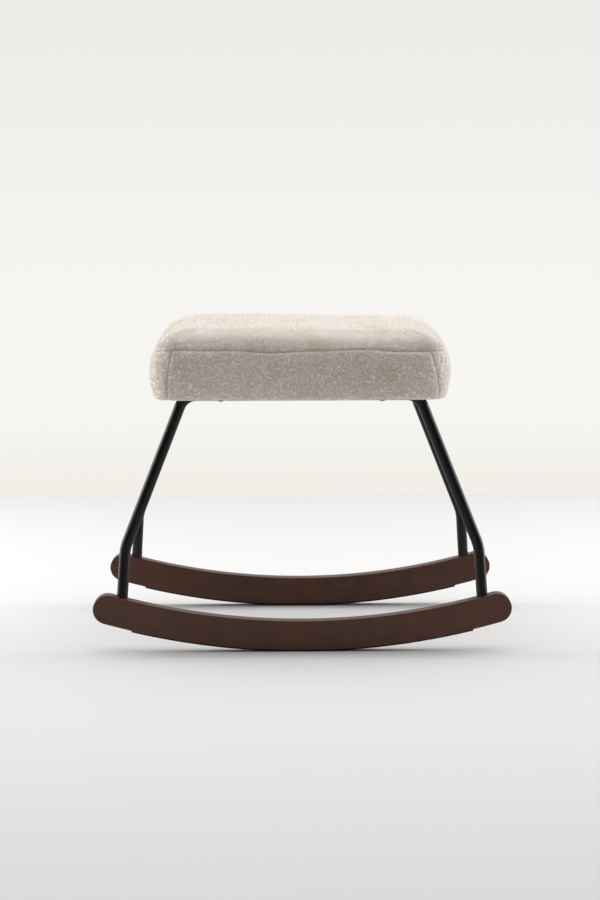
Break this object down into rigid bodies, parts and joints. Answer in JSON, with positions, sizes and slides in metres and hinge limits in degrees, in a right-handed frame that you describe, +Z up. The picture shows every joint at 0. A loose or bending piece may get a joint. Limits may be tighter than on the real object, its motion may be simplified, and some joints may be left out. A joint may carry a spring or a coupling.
{
  "type": "rocking footstool",
  "caption": "Low footstool with a boxed plush cushion on two bent tube frames, each set in a curved wooden rocker board, so that the whole stool rocks lengthwise.",
  "frame": {"origin": "on the floor, midway between the two rockers and midway along them", "axes": "+Z up, +X along the rockers to the right, +Y from the front rocker to the rear rocker"},
  "size_m": [0.57, 0.362, 0.44],
  "materials": {
    "rocker_wood": "dark stained, satin lacquer",
    "grip_rubber": "matt",
    "frame_black": "satin black powder coat",
    "black_steel": "black oxide",
    "zinc_steel": "bright zinc plate",
    "plywood": "bare plywood",
    "foam": "open cell foam",
    "wadding": "fibre wadding",
    "plush": "short dense pile",
    "dust_cloth": "bonded cloth"
  },
  "bodies": {
    "root": {"front_rocker": "rocker_wood", "rear_rocker": "rocker_wood", "front_grip_strip": "grip_rubber", "rear_grip_strip": "grip_rubber", "front_leg_frame": "frame_black", "rear_leg_frame": "frame_black", "left_cross_tube": "frame_black", "right_cross_tube": "frame_black", "front_foot_plugs": "zinc_steel", "rear_foot_plugs": "zinc_steel", "front_rocker_bolts": "zinc_steel", "rear_rocker_bolts": "zinc_steel", "front_rocker_washers": "zinc_steel", "rear_rocker_washers": "zinc_steel", "seat_bolts": "black_steel", "saddle_washers": "black_steel", "seat_tee_nuts": "zinc_steel", "seat_board": "plywood", "foam_core": "foam", "wadding_wrap": "wadding", "cover_top_panel": "plush", "cover_front_panel": "plush", "cover_rear_panel": "plush", "cover_left_panel": "plush", "cover_right_panel": "plush", "dust_cover": "dust_cloth", "cover_staples": "zinc_steel"}
  },
  "joints": []
}
